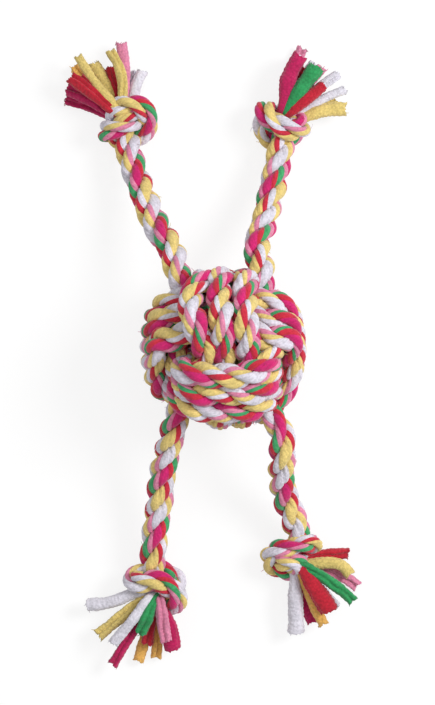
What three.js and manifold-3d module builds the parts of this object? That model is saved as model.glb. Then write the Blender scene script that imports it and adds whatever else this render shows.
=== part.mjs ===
// Rope dog toy: a ball wound from one rope in three crossing bands, with four knotted rope legs.
// Each leg ends in an overhand knot and a tassel of rolled jersey strips.
// Millimetres, +Z up. The toy lies flat on the floor with its long way along Y.
// The origin is on the floor, in the middle of the small flat on which the ball rests.
import * as THREE from "three";
import { mergeVertices } from "three/addons/utils/BufferGeometryUtils.js";
import Module from "manifold-3d";

// Driving dimensions of the ropes and their clearances
const legRopeDiameter = 13.6;
const woundDiameter = 10;
const sideGap = 2.1;
const layerGap = 2.3;
const crownRise = 1.0;
const seatGap = 0.35;
const bridgePull = 17;
const flatDepth = woundDiameter / 10;

// The ball's loops: each band has three turns, each turn a rounded square
const pitch = woundDiameter + sideGap;
const inReach = pitch + woundDiameter + layerGap;
const outReach = inReach + woundDiameter + layerGap;
const loopExponent = 5.5;
const stepsPerLoop = 24;
const bridgeSteps = 8;
const woundSides = 6;
const fullTurn = 360;
const quarterTurn = 90;
const sampleStep = woundDiameter / 8;
const seatStep = sampleStep / 10;
const searchStartShare = 1.5;
const tangentStepDegrees = 0.5;
const tinyAngle = 1e-9;
const halvings = 40;
const heartSlices = 24;
const heartStacks = 16;

// The ball's tilt: the upper part leans back less than the lower part
const tiltDegrees = 43;
const leanDegrees = 9;

// Leg ropes
const ropeSides = 12;
const neckShare = 0.35;
const swellShares = [0.35, 0.55, 0.75, 1];
const neckDiameter = 8.8;
const endRings = 4;
const lastRingDegrees = 80;
const steepShare = 0.9;
const weldDistance = 1e-4;

// Knots and tassels
const knotWidth = 30;
const knotLength = 24;
const knotHeight = 26;
const knotSlices = 20;
const knotStacks = 14;
const longestReach = 45;
const stripRootDiameter = 2.9;
const stripTipDiameter = 5.9;
const wideTipDiameter = 7.2;
const stripSides = 6;
const stripSteps = 6;
const layerHeights = [3.7, 10.4, 17.8];
const layerRootDegrees = [-30, 4, 37];
const stripSwing = 1.2;
const swellFromShare = 0.2;
const swellToShare = 0.867;

// Colours of the dyed cotton
const colours = {
  white: 0xece9f3,
  yellow: 0xdcbe72,
  gold: 0xcf9d45,
  pink: 0xd57d9b,
  magenta: 0xb71c58,
  red: 0xbd2133,
  green: 0x1f7f48,
  rope: 0xd19994,
};

const degree = Math.PI / 180;
const group = new THREE.Group();
const wasm = await Module();
wasm.setup();

// A band's sideways shift by one pitch while its turn angle runs from one angle to another
function shiftBetween(angle, from, to) {
  return THREE.MathUtils.smoothstep(angle, from, to);
}

const axisX = new THREE.Vector3(1, 0, 0);
const axisY = new THREE.Vector3(0, 1, 0);
const axisZ = new THREE.Vector3(0, 0, 1);

// Where each band's turns shift to the next place, in degrees round the turn
const edgeEarly = 25;
const edgeLate = 50;
const coverFrom = 222;
const coverTo = 318;
const entryAngle = 52;
const firstLeave = 20;
const secondLeave = 6;
const exitAngle = 2;

const bandA = {
  out: axisY.clone().negate(),
  inward: axisZ.clone().negate(),
  side: axisX,
  from: entryAngle,
  to: 3 * fullTurn + firstLeave,
  offset(angle) {
    let turns = -1;
    for (let k = 1; k <= 3; k += 1) {
      turns += shiftBetween(angle, k * fullTurn - edgeEarly, k * fullTurn + edgeLate);
    }
    return pitch * turns;
  },
};

const bandB = {
  out: axisX,
  inward: axisY,
  side: axisZ,
  from: -secondLeave,
  to: 2 * fullTurn + 2 * quarterTurn + secondLeave,
  offset(angle) {
    let turns = -1;
    for (let k = 0; k <= 1; k += 1) {
      turns += shiftBetween(angle, k * fullTurn + coverFrom, k * fullTurn + coverTo);
    }
    return pitch * turns;
  },
};

const bandC = {
  out: axisZ,
  inward: axisX,
  side: axisY,
  from: -firstLeave,
  to: 2 * fullTurn + 3 * quarterTurn + exitAngle,
  offset(angle) {
    let turns = -2;
    for (let k = 0; k <= 2; k += 1) {
      turns += shiftBetween(angle, k * fullTurn - edgeLate, k * fullTurn + edgeEarly);
    }
    return pitch * turns;
  },
};

// A point of a band's turn: a rounded square with a long and a short half width
function loopPoint(band, turn) {
  const c = Math.cos(turn * degree);
  const s = Math.sin(turn * degree);
  const outer = Math.sign(c) * Math.abs(c) ** (2 / loopExponent);
  const inner = Math.sign(s) * Math.abs(s) ** (2 / loopExponent);
  const seen = Math.atan2(inner * inReach, outer * outReach) / degree;
  const angle = seen + fullTurn * Math.round((turn - seen) / fullTurn);
  const offset = band.offset(angle);
  const rise = crownRise * (1 - Math.min(1, (offset / pitch) ** 2));
  return new THREE.Vector3()
    .addScaledVector(band.out, (outReach + rise) * outer)
    .addScaledVector(band.inward, inReach * inner)
    .addScaledVector(band.side, offset);
}

// The turn angle at which a loop is seen at a given direction from the ball's centre
function turnAt(angle) {
  const whole = Math.round(angle / quarterTurn) * quarterTurn;
  const quadrant = Math.floor(angle / quarterTurn) * quarterTurn;
  if (Math.abs(angle - whole) < tinyAngle) return whole;
  let low = quadrant;
  let high = quadrant + quarterTurn;
  for (let i = 0; i < halvings; i += 1) {
    const middle = (low + high) / 2;
    const c = Math.cos(middle * degree);
    const s = Math.sin(middle * degree);
    const outer = Math.sign(c) * Math.abs(c) ** (2 / loopExponent) * outReach;
    const inner = Math.sign(s) * Math.abs(s) ** (2 / loopExponent) * inReach;
    const seen = Math.atan2(inner, outer) / degree;
    const unrolled = seen + fullTurn * Math.round((middle - seen) / fullTurn);
    if (unrolled < angle) low = middle;
    else high = middle;
  }
  return (low + high) / 2;
}

function sweepBand(band) {
  const from = turnAt(band.from);
  const to = turnAt(band.to);
  const steps = Math.round(((to - from) / fullTurn) * stepsPerLoop);
  const points = [];
  for (let i = 0; i <= steps; i += 1) {
    points.push(loopPoint(band, from + ((to - from) * i) / steps));
  }
  return points;
}

// A smooth passage over an open corner of the ball, from one band's end to the next band's start
function bridge(bandBefore, bandAfter) {
  const last = turnAt(bandBefore.to);
  const first = turnAt(bandAfter.from);
  const a = loopPoint(bandBefore, last);
  const b = loopPoint(bandAfter, first);
  const leaving = a.clone().sub(loopPoint(bandBefore, last - tangentStepDegrees)).normalize();
  const arriving = loopPoint(bandAfter, first + tangentStepDegrees).sub(b).normalize();
  const curve = new THREE.CubicBezierCurve3(
    a,
    a.clone().addScaledVector(leaving, bridgePull),
    b.clone().addScaledVector(arriving, -bridgePull),
    b,
  );
  return curve.getPoints(bridgeSteps).slice(1, -1);
}

// From the ball's own axes to the toy's: right, towards the viewer and up in the picture
function tilted(p) {
  const angle = (tiltDegrees - (leanDegrees * p.z) / outReach) * degree;
  return new THREE.Vector3(
    p.x,
    p.y * Math.sin(angle) + p.z * Math.cos(angle),
    p.y * Math.cos(angle) - p.z * Math.sin(angle),
  );
}

const windingRoute = [
  ...sweepBand(bandA),
  ...bridge(bandA, bandB),
  ...sweepBand(bandB),
  ...bridge(bandB, bandC),
  ...sweepBand(bandC),
].map(tilted);

// The ends run straight for one diameter
function withStraightEnds(points, length) {
  const start = points[0].clone().sub(points[1]).setLength(length).add(points[0]);
  const n = points.length - 1;
  const end = points[n].clone().sub(points[n - 1]).setLength(length).add(points[n]);
  return [start, ...points, end];
}

function finePoints(points, step) {
  const fine = [];
  for (let i = 1; i < points.length; i += 1) {
    const count = Math.max(1, Math.ceil(points[i].distanceTo(points[i - 1]) / step));
    for (let k = 0; k < count; k += 1) fine.push(points[i - 1].clone().lerp(points[i], k / count));
  }
  fine.push(points[points.length - 1].clone());
  return fine;
}

// The least gap of a tube to itself, past the stretch in which it is its own neighbour
function leastGap(points, diameter) {
  const fine = finePoints(points, sampleStep);
  const reach = [0];
  for (let i = 1; i < fine.length; i += 1) {
    reach.push(reach[i - 1] + fine[i].distanceTo(fine[i - 1]));
  }
  let least = Infinity;
  for (let i = 0; i < fine.length; i += 1) {
    for (let j = i + 1; j < fine.length; j += 1) {
      if (reach[j] - reach[i] < 2 * diameter) continue;
      least = Math.min(least, fine[i].distanceTo(fine[j]) - diameter);
    }
  }
  return least;
}

// A closed tube with a ring at each point; radii holds each ring's radius
function tube(points, radii, sides) {
  const positions = [];
  const index = [];
  const tangent = new THREE.Vector3();
  let normal = null;
  points.forEach((point, i) => {
    const before = points[Math.max(0, i - 1)];
    const after = points[Math.min(points.length - 1, i + 1)];
    tangent.copy(after).sub(before).normalize();
    if (normal === null) {
      const helper = Math.abs(tangent.z) < steepShare ? axisZ : axisX;
      normal = helper.clone().cross(tangent).normalize();
    }
    normal.addScaledVector(tangent, -normal.dot(tangent)).normalize();
    const binormal = tangent.clone().cross(normal);
    for (let k = 0; k < sides; k += 1) {
      const a = (k / sides) * fullTurn * degree;
      const v = point
        .clone()
        .addScaledVector(normal, radii[i] * Math.cos(a))
        .addScaledVector(binormal, radii[i] * Math.sin(a));
      positions.push(v.x, v.y, v.z);
    }
  });
  const rings = points.length;
  for (let i = 0; i + 1 < rings; i += 1) {
    for (let k = 0; k < sides; k += 1) {
      const a = i * sides + k;
      const b = i * sides + ((k + 1) % sides);
      index.push(a, b, a + sides, b, b + sides, a + sides);
    }
  }
  for (let k = 1; k + 1 < sides; k += 1) {
    const last = (rings - 1) * sides;
    index.push(0, k + 1, k);
    index.push(last, last + k, last + k + 1);
  }
  const geometry = new THREE.BufferGeometry();
  geometry.setAttribute("position", new THREE.Float32BufferAttribute(positions, 3));
  geometry.setIndex(index);
  return geometry;
}

function addMesh(name, geometry, colour) {
  const flat = geometry.index ? geometry.toNonIndexed() : geometry;
  flat.computeVertexNormals();
  const material = new THREE.MeshStandardMaterial({ color: colour, roughness: 0.95, metalness: 0 });
  const mesh = new THREE.Mesh(flat, material);
  mesh.name = name;
  group.add(mesh);
  return mesh;
}

function solidOf(geometry) {
  const bare = geometry.clone();
  bare.deleteAttribute("normal");
  bare.deleteAttribute("uv");
  const merged = mergeVertices(bare, weldDistance);
  return new wasm.Manifold(
    new wasm.Mesh({
      numProp: 3,
      vertProperties: new Float32Array(merged.attributes.position.array),
      triVerts: new Uint32Array(merged.index.array),
    }),
  );
}

function geometryOf(solid) {
  const mesh = solid.getMesh();
  const geometry = new THREE.BufferGeometry();
  geometry.setAttribute("position", new THREE.Float32BufferAttribute(mesh.vertProperties, 3));
  geometry.setIndex([...mesh.triVerts]);
  return geometry;
}

// The ball: its winding stands on the floor, cut flat there
const windingPath = withStraightEnds(windingRoute, woundDiameter);
const lower = (low, p) => (p.z < low.z ? p : low);
const fineRoute = finePoints(windingPath, sampleStep);
const lowest = fineRoute.reduce(lower);
const middleLow = fineRoute.filter((p) => Math.abs(p.x) < pitch / 2).reduce(lower);
const ballCentre = new THREE.Vector3(0, -middleLow.y, -lowest.z + woundDiameter / 2 - flatDepth);
const placedPath = windingPath.map((p) => p.clone().add(ballCentre));
const windingTube = tube(placedPath, placedPath.map(() => woundDiameter / 2), woundSides);
const overrun = 2 * outReach;
const belowFloor = new THREE.BoxGeometry(2 * overrun, 2 * overrun, overrun);
belowFloor.translate(0, 0, -overrun / 2);
const standing = solidOf(windingTube).subtract(solidOf(belowFloor));
addMesh("ball_winding", geometryOf(standing), colours.rope);
console.log("least gap of the winding to itself, mm:", leastGap(windingPath, woundDiameter).toFixed(2));
console.log("ball centre, mm:", ballCentre.toArray().map((v) => v.toFixed(3)).join(" "));

// The second rope's heart knot, held inside the winding
const heartRadius = inReach - woundDiameter / 2 - seatGap;
const heart = new THREE.SphereGeometry(heartRadius, heartSlices, heartStacks);
heart.translate(ballCentre.x, ballCentre.y, ballCentre.z);
addMesh("heart_knot", heart, colours.rope);

// Where a leg leaves the ball: as deep in an open corner as its pinched neck fits
const fineWinding = finePoints(placedPath, sampleStep);
function cornerSeat(signs) {
  const room = woundDiameter / 2 + neckDiameter / 2 + seatGap;
  const corner = new THREE.Vector3(...signs).normalize();
  let reach = searchStartShare * outReach;
  for (;;) {
    const next = tilted(corner.clone().multiplyScalar(reach - seatStep)).add(ballCentre);
    const nearest = Math.min(...fineWinding.map((p) => p.distanceTo(next)));
    if (nearest < room || reach < inReach) break;
    reach -= seatStep;
  }
  return tilted(corner.multiplyScalar(reach)).add(ballCentre);
}

function place(x, y, z) {
  return new THREE.Vector3(ballCentre.x + x, ballCentre.y + y, z);
}

// Each leg's route from the ball to its knot: x and y from the ball's centre, z above the floor.
// Each strip of a tassel: its direction in degrees, how much of the longest strip's reach it has from
// the knot's middle, its layer and its colour.
const legs = [
  {
    name: "upper_left",
    corner: [-1, 1, 1],
    bend: [-27, 50, 38],
    route: [[-30.5, 56.5, 33], [-35, 64.5, 28], [-38.5, 74, 23], [-42.5, 84, 18.5]],
    ankle: [-47, 95, 15],
    knot: [-48.5, 114],
    stripShares: [
      [72, 0.578, 1, "white"],
      [79, 0.556, 0, "white"],
      [93.7, 0.867, 1, "pink"],
      [103, 0.789, 2, "yellow"],
      [106.5, 0.622, 1, "red"],
      [113.3, 0.622, 0, "red"],
      [120, 0.733, 1, "yellow"],
      [127, 0.889, 2, "yellow"],
      [133, 0.844, 0, "gold"],
      [137, 0.7, 1, "red"],
      [142.5, 0.778, 2, "red"],
      [152, 0.744, 1, "magenta"],
      [160, 0.722, 0, "magenta"],
    ],
  },
  {
    name: "upper_right",
    corner: [1, 1, 1],
    bend: [18.7, 50, 38],
    route: [[19.7, 57, 33], [21.3, 64.5, 28], [23.5, 74, 23], [25.8, 84, 18.5]],
    ankle: [28, 94, 15],
    knot: [27.5, 113],
    stripShares: [
      [72, 0.889, 0, "pink"],
      [59, 0.789, 0, "white"],
      [22, 0.7, 0, "yellow"],
      [77, 0.778, 1, "white"],
      [64, 0.667, 1, "red"],
      [51.5, 0.789, 1, "pink"],
      [39, 0.867, 1, "white"],
      [26.5, 0.833, 1, "white"],
      [11.6, 0.767, 1, "yellow", "wide"],
      [71.5, 0.778, 2, "magenta", "wide"],
      [55, 0.744, 2, "green", "wide"],
      [39, 0.644, 2, "red"],
    ],
  },
  {
    name: "lower_left",
    corner: [-1, -1, -1],
    bend: [-27, -49, 35.5],
    route: [[-28.7, -55.5, 31.5], [-30.5, -63.5, 26.5], [-31.7, -76, 21.5], [-33.7, -89, 17.5]],
    ankle: [-35.5, -101, 15],
    knot: [-32.5, -120],
    stripShares: [
      [194, 0.811, 1, "white"],
      [219, 0.856, 1, "yellow"],
      [231, 0.789, 2, "white"],
      [239.5, 1, 1, "magenta"],
      [249, 0.544, 2, "green"],
      [255, 0.867, 0, "gold"],
      [259, 0.644, 1, "red"],
      [268, 0.8, 0, "gold"],
      [279, 0.6, 2, "pink"],
      [283, 0.711, 1, "magenta"],
    ],
  },
  {
    name: "lower_right",
    corner: [1, -1, -1],
    bend: [29.4, -49.5, 45],
    route: [[29.2, -56.5, 40], [28.7, -64, 32.5], [31, -74.5, 23]],
    ankle: [34.9, -85.6, 15],
    knot: [35.5, -105],
    stripShares: [
      [3, 0.611, 0, "red"],
      [343, 0.656, 1, "yellow"],
      [335, 0.789, 0, "pink"],
      [324, 0.811, 2, "green"],
      [311, 0.744, 0, "white"],
      [304, 0.7, 2, "red", "wide"],
      [294, 0.822, 1, "gold"],
      [286, 0.767, 0, "magenta"],
      [272, 0.844, 1, "white", "wide"],
    ],
  },
];

const ropeRadius = legRopeDiameter / 2;
const neckRadius = neckDiameter / 2;

// Rings of a half round end, centred on its point, before or after the rope's own rings
function roundEnd(centre, outward, radius) {
  const points = [];
  const radii = [];
  for (let i = 1; i <= endRings; i += 1) {
    const a = (i / endRings) * lastRingDegrees * degree;
    points.push(centre.clone().addScaledVector(outward, radius * Math.sin(a)));
    radii.push(radius * Math.cos(a));
  }
  return { points, radii };
}

// A short piece of rope between the ball and the leg's first bend, pinched where it leaves the ball
function legRoot(seat, bend) {
  const along = bend.clone().sub(seat).normalize();
  const end = bend.clone().addScaledVector(along, -(ropeRadius + seatGap));
  const cap = roundEnd(seat, along.clone().negate(), neckRadius);
  const points = [...cap.points.reverse(), seat.clone()];
  const radii = [...cap.radii.reverse(), neckRadius];
  swellShares.forEach((share) => {
    const swell = THREE.MathUtils.smoothstep(share, neckShare, 1);
    points.push(seat.clone().lerp(end, share));
    radii.push(THREE.MathUtils.lerp(neckRadius, ropeRadius, swell));
  });
  return tube(points, radii, ropeSides);
}

function legShank(bend, middles, ankle) {
  const curve = new THREE.CatmullRomCurve3([bend, ...middles, ankle], false, "centripetal");
  const steps = Math.round(curve.getLength() / (ropeRadius));
  const main = curve.getSpacedPoints(steps);
  const first = main[0].clone().sub(main[1]).normalize();
  const last = main[steps].clone().sub(main[steps - 1]).normalize();
  const start = roundEnd(bend, first, ropeRadius);
  const end = roundEnd(ankle, last, ropeRadius);
  const points = [...start.points.reverse(), ...main, ...end.points];
  const radii = [...start.radii.reverse(), ...main.map(() => ropeRadius), ...end.radii];
  return tube(points, radii, ropeSides);
}

function knotSolid(centre, along) {
  const shape = new THREE.SphereGeometry(1, knotSlices, knotStacks);
  shape.rotateX(quarterTurn * degree);
  shape.scale(knotLength / 2, knotWidth / 2, knotHeight / 2);
  shape.rotateZ(Math.atan2(along.y, along.x));
  shape.translate(centre.x, centre.y, centre.z);
  return shape;
}

// The distance from the knot's middle to its surface in a direction
function knotReach(direction, along, extra) {
  const forward = direction.dot(along);
  const sideways = direction.x * -along.y + direction.y * along.x;
  const a = forward / (knotLength / 2 + extra);
  const b = sideways / (knotWidth / 2 + extra);
  const c = direction.z / (knotHeight / 2 + extra);
  return 1 / Math.sqrt(a * a + b * b + c * c);
}

function strip(centre, along, [degrees, reachShare, layer, , wide], order) {
  const flat = new THREE.Vector3(Math.cos(degrees * degree), Math.sin(degrees * degree), 0);
  const rise = layerRootDegrees[layer] * degree;
  const leave = flat.clone().multiplyScalar(Math.cos(rise));
  leave.z = Math.sin(rise);
  const rootRadius = stripRootDiameter / 2;
  const tipRadius = (wide ? wideTipDiameter : stripTipDiameter) / 2;
  const root = leave.clone().multiplyScalar(knotReach(leave, along, rootRadius + seatGap)).add(centre);
  const tip = centre.clone().addScaledVector(flat, longestReach * reachShare - tipRadius / 2);
  tip.z = layerHeights[layer];
  const sideways = new THREE.Vector3(-flat.y, flat.x, 0);
  const swing = stripSwing * (order % 2 === 0 ? 1 : -1);
  const middle = root.clone().lerp(tip, 0.5).addScaledVector(sideways, swing / 2);
  const curve = new THREE.QuadraticBezierCurve3(root, middle, tip);
  const points = curve.getPoints(stripSteps);
  const radii = points.map((p, i) => {
    const swell = THREE.MathUtils.smoothstep(i / stripSteps, swellFromShare, swellToShare);
    return THREE.MathUtils.lerp(rootRadius, tipRadius, swell);
  });
  const back = points[0].clone().sub(points[1]).normalize();
  const cap = roundEnd(root, back, rootRadius);
  return tube([...cap.points.reverse(), ...points], [...cap.radii.reverse(), ...radii], stripSides);
}

for (const leg of legs) {
  const seat = cornerSeat(leg.corner);
  const bend = place(...leg.bend);
  const ankle = place(...leg.ankle);
  const knot = place(...leg.knot, knotHeight / 2);
  const away = knot.clone().sub(ankle).setZ(0).normalize();
  addMesh(leg.name + "_leg_root", legRoot(seat, bend), colours.rope);
  addMesh(leg.name + "_leg_shank", legShank(bend, leg.route.map((p) => place(...p)), ankle), colours.rope);
  addMesh(leg.name + "_knot", knotSolid(knot, away), colours.rope);
  leg.stripShares.forEach((values, i) => {
    const name = leg.name + "_strip_" + String(i + 1).padStart(2, "0") + "_" + values[3];
    addMesh(name, strip(knot, away, values, i), colours[values[3]]);
  });
  const text = [seat, bend, ankle, knot].map((p) => p.toArray().map((v) => v.toFixed(2)).join(" "));
  console.log(leg.name, "seat, bend, ankle and knot, mm:", text.join(" | "));
}

export default group;
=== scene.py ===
"""Rope dog toy: a ball wound from three-strand cotton rope, four knotted legs and their tassels.

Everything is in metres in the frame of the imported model. A rope is three strands twisted round each
other, and each strand is four rolled jersey strips of its own colours.
"""
import math

import bmesh
import bpy
import numpy as np
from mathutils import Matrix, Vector


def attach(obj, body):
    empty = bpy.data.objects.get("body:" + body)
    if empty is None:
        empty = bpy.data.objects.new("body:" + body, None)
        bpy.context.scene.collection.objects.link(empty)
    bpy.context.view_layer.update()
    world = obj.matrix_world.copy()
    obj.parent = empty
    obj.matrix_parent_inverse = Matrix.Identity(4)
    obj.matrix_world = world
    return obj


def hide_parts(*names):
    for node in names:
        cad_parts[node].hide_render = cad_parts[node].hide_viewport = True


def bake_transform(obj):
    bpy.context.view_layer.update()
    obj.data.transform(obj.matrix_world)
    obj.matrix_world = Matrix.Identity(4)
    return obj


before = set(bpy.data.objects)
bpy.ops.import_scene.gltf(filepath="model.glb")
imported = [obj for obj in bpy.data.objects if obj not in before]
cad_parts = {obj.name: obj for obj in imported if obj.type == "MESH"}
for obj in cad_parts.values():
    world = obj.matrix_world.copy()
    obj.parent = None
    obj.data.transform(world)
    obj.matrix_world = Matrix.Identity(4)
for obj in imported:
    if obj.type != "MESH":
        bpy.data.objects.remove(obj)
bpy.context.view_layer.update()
MM = 0.001

# The winding's sizes as in the solids, in millimetres and degrees
WOUND_DIAMETER = 10
SIDE_GAP = 2.1
LAYER_GAP = 2.3
CROWN_RISE = 1.0
BRIDGE_PULL = 17
PITCH = WOUND_DIAMETER + SIDE_GAP
IN_REACH = PITCH + WOUND_DIAMETER + LAYER_GAP
OUT_REACH = IN_REACH + WOUND_DIAMETER + LAYER_GAP
LOOP_EXPONENT = 5.5
TILT_DEGREES = 43
LEAN_DEGREES = 9
BALL_CENTRE = np.array([0, 5.611, 43.876])

# The soft rope, in millimetres. A lay is how many rope diameters a strand takes for one turn, at
# the rope's start and its end. A strand's centre line and radius are shares of the rope's diameter.
LEG_DIAMETER = 14.0
BALL_ROPE_DIAMETER = 13.4
BALL_SQUEEZE_SHARE = 0.88
BALL_LAY = (2.65, 2.65)
KNOT_LAY = (3.3, 3.3)
STRAND_CENTRE_SHARE = 0.262
STRAND_RADIUS_SHARE = 0.238
# How fast the strips turn back against the strands: at 1 they would run along the rope
STRIP_TWIST, BALL_STRIP_TWIST = 1.45, 1.5
RING_SIDES = 20
# The groove between two strips, as a share of the strand's radius and in sides of its ring
GROOVE_DEPTH, GROOVE_SIDES = 0.19, 0.8
END_SHARE = 0.06
STRAND_GIRTH, STRAND_APART = 2 * math.pi * 3.3, 40

# How uneven a strand's turn, place and thickness are, and the slow waves that make it so
UNEVEN_TURN, UNEVEN_CENTRE, UNEVEN_THICKNESS = 0.10, 0.05, 0.06
WAVES, LONGEST_WAVE, WAVE_STEP = 5, 60, 0.8

# Soft pieces are pressed flat below this height, and stay just clear of the floor
FLOOR_PRESS, FLOOR_SOFTNESS, FLOOR_CLEARANCE = 0.3, 0.12, 0.02

# Loose fibres of the rope and threads at the strips' ends, in millimetres
THREAD_STEPS, THREAD_SIDES, THREAD_TIP_SHARE = 6, 4, 0.45
FIBRE_SPACING, FIBRE_RADIUS, FIBRE_FROM = 6, 0.15, 0.44
FIBRE_LENGTHS, FIBRE_LEAN, FIBRE_CURL, FIBRE_SEED = (1.2, 4.0), 0.9, 0.35, 900

# Colours of the dyed cotton in the rope
COLOURS = {
    "white": "d9d5e1",
    "yellow": "e0c77a",
    "gold": "e4b05c",
    "pink": "da84a3",
    "magenta": "c8216b",
    "red": "c62a3f",
    "green": "409e64",
}
# The loose strips' colours, where they differ from the rope's
LOOSE_COLOURS = {
    "white": "d6d3dd",
    "yellow": "dac274",
    "magenta": "b81b57",
    "red": "b71d31",
    "green": "2c9154",
}
# Each strand's strips, with how many of its ring's sides each takes
LEG_STRANDS = (
    (("pink", 4), ("magenta", 7), ("red", 4), ("green", 5)),
    (("yellow", 4), ("red", 4), ("white", 5), ("yellow", 7)),
    (("white", 4), ("yellow", 5), ("pink", 4), ("white", 7)),
)
BALL_STRANDS = (
    (("pink", 4), ("magenta", 8), ("red", 5), ("green", 3)),
    (("yellow", 4), ("red", 5), ("white", 4), ("yellow", 7)),
    (("white", 5), ("yellow", 4), ("pink", 4), ("white", 7)),
)


def linear(colour):
    """A linear colour with alpha from an sRGB hex text."""
    out = []
    for i in (0, 2, 4):
        c = int(colour[i : i + 2], 16) / 255
        out.append(c / 12.92 if c <= 0.04045 else ((c + 0.055) / 1.055) ** 2.4)
    return (*out, 1.0)


# The camera looks straight down, with its places in millimetres. The photo shows this much of the
# toy at the measured height above the floor.
PHOTO_MIDDLE = (-2.75, 3.36)
PHOTO_HEIGHT = 352.5
CAMERA_HEIGHT, MEASURED_HEIGHT = 1900, 20
SENSOR = 36
VIEW_END = 50
# Lamps: name, place and size in metres, power in watts
LAMPS = (
    ("key", (0.95, 0.35, 1.15), 0.6, 17.5),
    ("fill", (-1.1, -0.3, 1.3), 1.4, 2.6),
    ("top", (0, 0.3, 1.8), 1.6, 5.7),
)
LAMP_TARGET = (0, 0, 0.03)
WORLD_STRENGTH = 0.44
FLOOR_SIZE = 8
FLOOR_FINISH = {"Base Color": linear("fbfbfb"), "Roughness": 0.9}
# How much of the floor's look is plain white; the rest keeps the shadow
BACKDROP_SHARE = 0.82


def make_camera():
    """Straight above the toy, framed as the photo is."""
    data = bpy.data.cameras.new("camera")
    camera = bpy.data.objects.new("camera", data)
    bpy.context.scene.collection.objects.link(camera)
    data.sensor_width = SENSOR
    data.lens = SENSOR * (CAMERA_HEIGHT - MEASURED_HEIGHT) / PHOTO_HEIGHT
    camera.location = (PHOTO_MIDDLE[0] * MM, PHOTO_MIDDLE[1] * MM, CAMERA_HEIGHT * MM)
    data.clip_end = VIEW_END
    bpy.context.scene.camera = camera


def area_light(name, place, size, power):
    """A round lamp that looks at the toy."""
    data = bpy.data.lights.new(name, "AREA")
    data.shape = "DISK"
    data.size = size
    data.energy = power
    light = bpy.data.objects.new(name, data)
    light.location = place
    direction = [t - p for t, p in zip(LAMP_TARGET, place)]
    light.rotation_euler = Vector(direction).to_track_quat("-Z", "Y").to_euler()
    bpy.context.scene.collection.objects.link(light)


def new_material(name, finish):
    """A material, its node tree and its shader, which has the finish's values on its sockets."""
    material = bpy.data.materials.new(name)
    material.use_nodes = True
    shader = material.node_tree.nodes["Principled BSDF"]
    for socket, value in finish.items():
        shader.inputs[socket].default_value = value
    return material, material.node_tree, shader


def add_node(tree, kind, inputs, **settings):
    """A new node with its settings; each input is a value or another node's output to link from."""
    node = tree.nodes.new("ShaderNode" + kind)
    for name, value in settings.items():
        setattr(node, name, value)
    for socket, value in inputs.items():
        if isinstance(value, bpy.types.NodeSocket):
            tree.links.new(value, node.inputs[socket])
        else:
            node.inputs[socket].default_value = value
    return node


def make_stage():
    """The white floor with the toy's soft shadow, the lamps and the world's even light."""
    bpy.ops.mesh.primitive_plane_add(size=FLOOR_SIZE, location=(0, 0, 0))
    floor = bpy.context.object
    floor.name = "floor"
    material, tree, shader = new_material("floor_white", FLOOR_FINISH)
    seen = add_node(tree, "LightPath", {}).outputs
    direct = seen["Is Camera Ray"]
    for ray in ("Is Glossy Ray", "Is Transmission Ray"):
        either = add_node(tree, "Math", {0: direct, 1: seen[ray]}, operation="MAXIMUM")
        direct = either.outputs["Value"]
    white_share = add_node(tree, "Math", {0: direct, 1: BACKDROP_SHARE}, operation="MULTIPLY")
    white = add_node(tree, "Emission", {})
    both = add_node(
        tree,
        "MixShader",
        {
            "Fac": white_share.outputs["Value"],
            1: shader.outputs["BSDF"],
            2: white.outputs["Emission"],
        },
    )
    tree.links.new(both.outputs["Shader"], tree.nodes["Material Output"].inputs["Surface"])
    floor.data.materials.append(material)
    for lamp in LAMPS:
        area_light(*lamp)
    world = bpy.data.worlds.new("studio")
    world.use_nodes = True
    sky = world.node_tree.nodes["Background"]
    sky.inputs["Color"].default_value = (1, 1, 1, 1)
    sky.inputs["Strength"].default_value = WORLD_STRENGTH
    bpy.context.scene.world = world
    bpy.context.scene.view_settings.view_transform = "Standard"


# The toy is all cotton jersey, knitted and dyed. It is matt with hardly a shine, and its fibres
# give a soft light rim where it turns away. Its dye takes unevenly, its fuzz speckles it, and its
# knit shows as rows of fine dimples, with painted shade between the loops and a faint painted light
# on their middles.
COTTON_FINISH = {
    "Roughness": 0.92,
    "Specular IOR Level": 0.25,
    "Sheen Weight": 0.25,
    "Sheen Roughness": 0.5,
}
# Sizes of the patterns in millimetres. Dye patches and fuzz are as real ones. Real knit loops are
# 0.6 wide, too fine for the render, so they are drawn as wide as they need to show.
DYE_PATCH, FUZZ_TUFT, KNIT_LOOP = 20 / 3, 10 / 9, 1.3
PATTERN_DETAIL = 3
# Each pattern's lowest and highest value that count, and how bright the cotton is there: for dye
# and fuzz that is the cotton's own uneven tone, and a loop's middle gets a faint painted light
DYE_SHADES, FUZZ_SHADES = (0.3, 0.7, 0.84, 1.06), (0.32, 0.62, 0.84, 1.05)
LOOP_FROM, LOOP_TO, LOOP_PAINTED_LIGHT = 0.25, 0.75, 1.03
# How dark the painted shade between the knit loops makes the cotton, in the rope and in the loose
# strips
ROPE_LOOP_PAINTED_SHADE, STRIP_LOOP_PAINTED_SHADE, LOOSE_LOOP_PAINTED_SHADE = 0.90, 0.84, {"white": 0.93}
# Depth of the loops and of the fuzz in millimetres, and how much of it the light shows
LOOP_DEPTH, FUZZ_DEPTH = 0.4, 0.4
LOOP_RELIEF, FUZZ_RELIEF = 0.5, 0.6


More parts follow.
